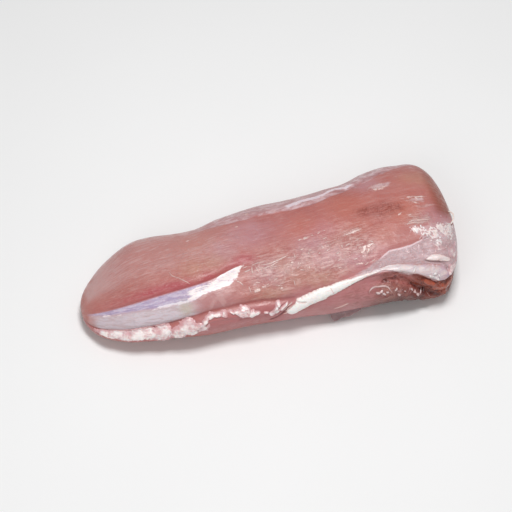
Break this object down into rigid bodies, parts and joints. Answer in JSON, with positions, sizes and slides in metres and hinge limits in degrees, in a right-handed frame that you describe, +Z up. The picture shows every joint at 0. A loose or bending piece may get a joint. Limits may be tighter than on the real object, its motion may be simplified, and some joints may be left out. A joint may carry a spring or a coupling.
{
  "type": "raw pork tenderloin",
  "caption": "Raw trimmed pork tenderloin lying flat: long tapering muscle with a blunt thick end, silverskin bands, a side muscle and fat along one edge.",
  "frame": {"origin": "centre of the bounding box's bottom face, in the plane that the flat underside rests on", "axes": "+X along the length towards the blunt thick end, +Y to the long side without the side muscle, +Z up from the resting face"},
  "size_m": [0.2306, 0.091, 0.0453],
  "materials": {
    "meat": "moist raw pork, pale pink-red with a soft wet sheen; whitish silverskin and fat along the seams"
  },
  "bodies": {
    "root": {"tenderloin": "meat"}
  },
  "joints": []
}
